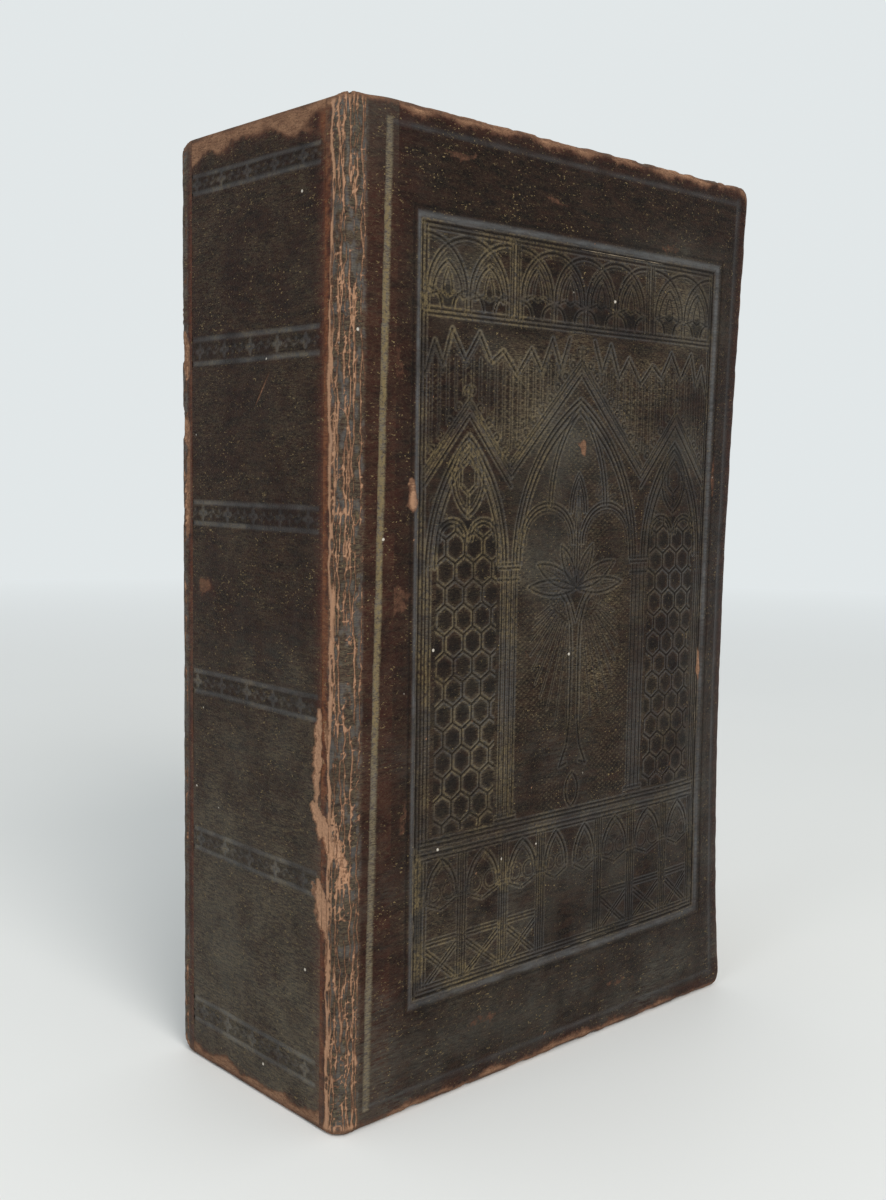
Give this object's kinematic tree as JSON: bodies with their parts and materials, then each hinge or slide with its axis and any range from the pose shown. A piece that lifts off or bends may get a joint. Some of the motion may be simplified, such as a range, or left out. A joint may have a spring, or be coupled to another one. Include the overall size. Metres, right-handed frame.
{
  "type": "leather-bound book",
  "caption": "Thick old leather-bound book standing on its tail, with a sunk Gothic-pattern panel on the front cover, tooled bands on the spine and two opening covers.",
  "frame": {"origin": "on the ground under the middle of the closed book", "axes": "+X from the spine to the fore-edge, +Y from the front cover to the back cover, +Z from the tail up to the head"},
  "size_m": [0.1284, 0.059, 0.2043],
  "materials": {
    "leather": "worn dark brown calf, stamped",
    "board": "grey-brown pasteboard",
    "pages": "aged paper edges",
    "endpaper": "plain aged endpaper",
    "lining_cloth": "open cotton lining",
    "headband_cloth": "worked thread",
    "cord": "hemp cord"
  },
  "bodies": {
    "book_block": {"text_block": "pages", "front_flyleaf": "endpaper", "back_flyleaf": "endpaper", "spine_lining": "lining_cloth", "spine_card": "board", "spine_leather": "leather", "headband": "headband_cloth", "tailband": "headband_cloth", "sewing_cord_1": "cord", "sewing_cord_2": "cord", "sewing_cord_3": "cord", "sewing_cord_4": "cord", "sewing_cord_5": "cord"},
    "front_cover": {"front_board": "board", "front_leather": "leather", "front_pastedown": "endpaper"},
    "back_cover": {"back_board": "board", "back_leather": "leather", "back_pastedown": "endpaper"}
  },
  "joints": [
    {"name": "front_cover_hinge", "type": "hinge", "parent": "book_block", "child": "front_cover", "pos_m": [-0.0612, -0.0295, 0.10215], "axis": [0, 0, -1], "range_deg": [0, 170]},
    {"name": "back_cover_hinge", "type": "hinge", "parent": "book_block", "child": "back_cover", "pos_m": [-0.0612, 0.0295, 0.10215], "axis": [0, 0, 1], "range_deg": [0, 170]}
  ]
}
